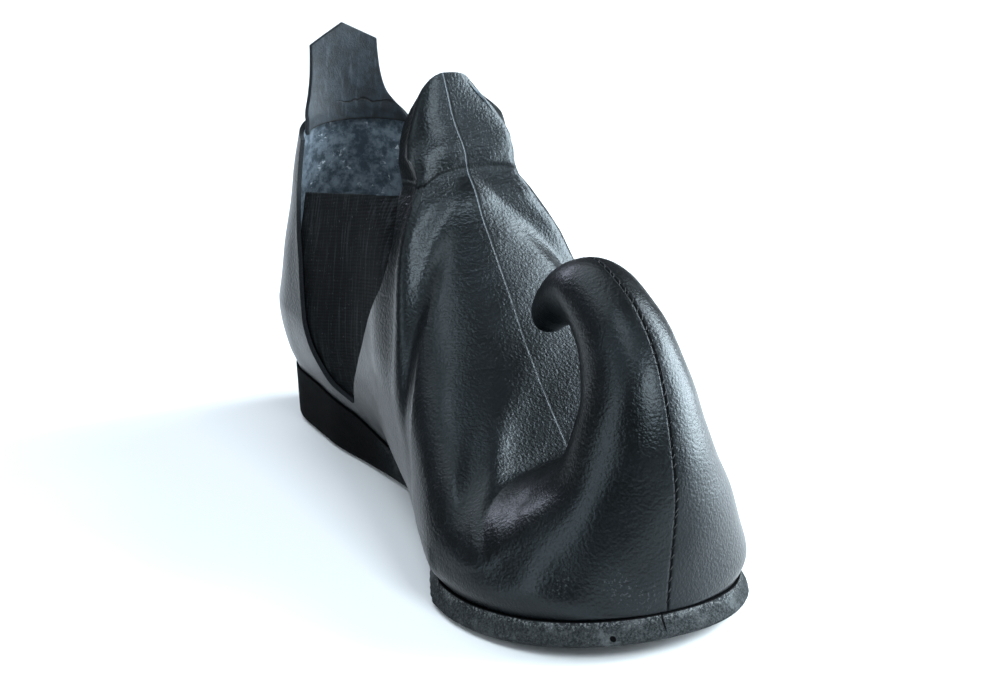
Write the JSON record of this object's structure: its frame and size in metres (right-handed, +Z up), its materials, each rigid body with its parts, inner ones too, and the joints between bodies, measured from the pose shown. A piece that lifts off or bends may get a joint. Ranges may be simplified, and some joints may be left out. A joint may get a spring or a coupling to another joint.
{
  "type": "elf shoe",
  "caption": "Black leather elf shoe for the left foot, with elastic side gores, a tall pull tab, a crepe sole with a low wedge heel and a hollow toe that curls up and back over itself.",
  "frame": {"origin": "middle of the shoe's footprint, on the floor", "axes": "+Z up, toe towards -Y, heel towards +Y, inner side of the foot towards -X"},
  "size_m": [0.1116, 0.2808, 0.154],
  "materials": {
    "sole_crepe": "granular crepe, matt",
    "insole_board": "napped, matt",
    "upper_leather": "fine grain, soft sheen",
    "gore_elastic": "ribbed elastic, matt",
    "tab_leather": "flesh side out, mottled, matt"
  },
  "bodies": {
    "root": {"outsole": "sole_crepe", "insole": "insole_board", "upper": "upper_leather", "gore_medial": "gore_elastic", "gore_lateral": "gore_elastic", "pull_tab": "tab_leather"}
  },
  "joints": []
}
